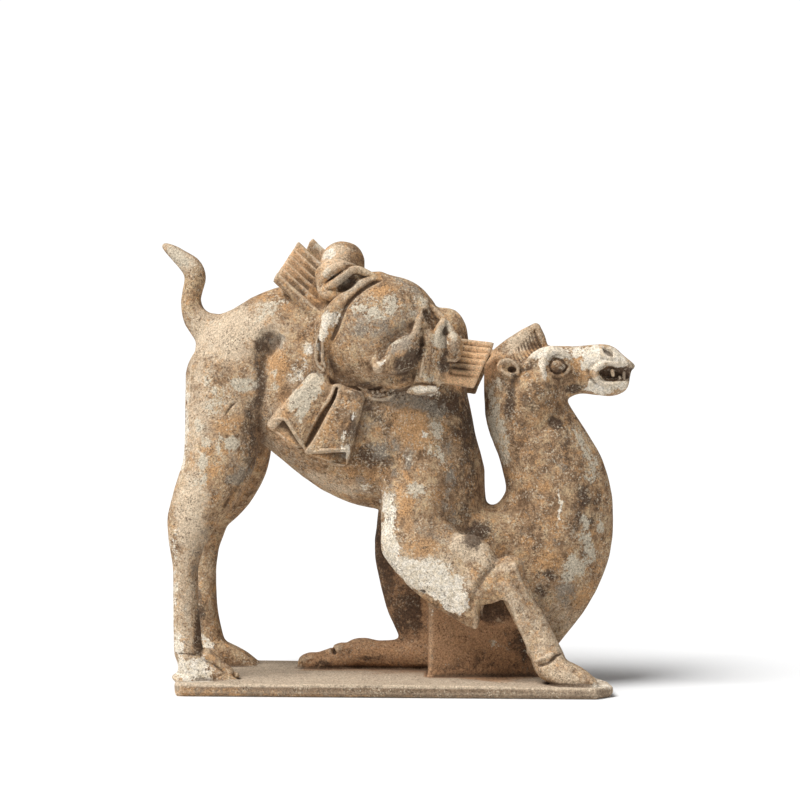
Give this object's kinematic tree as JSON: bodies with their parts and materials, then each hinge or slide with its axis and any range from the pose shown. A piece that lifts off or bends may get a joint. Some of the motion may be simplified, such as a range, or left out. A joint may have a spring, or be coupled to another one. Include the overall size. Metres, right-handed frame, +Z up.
{
  "type": "kneeling camel figurine",
  "caption": "Pottery figure of a humped pack camel rising from its knees on a thin slab, loaded with bags, ribbed boards and rolls; a display ornament.",
  "frame": {"origin": "centre of the bounding box's bottom, on the slab's flat underside", "axes": "+X the way the camel faces, +Y to the camel's left, away from the picture's viewer, +Z up"},
  "size_m": [0.34, 0.13, 0.323],
  "materials": {
    "earthenware": "matt, worn, unglazed"
  },
  "bodies": {
    "root": {"kneeling_camel": "earthenware"}
  },
  "joints": []
}
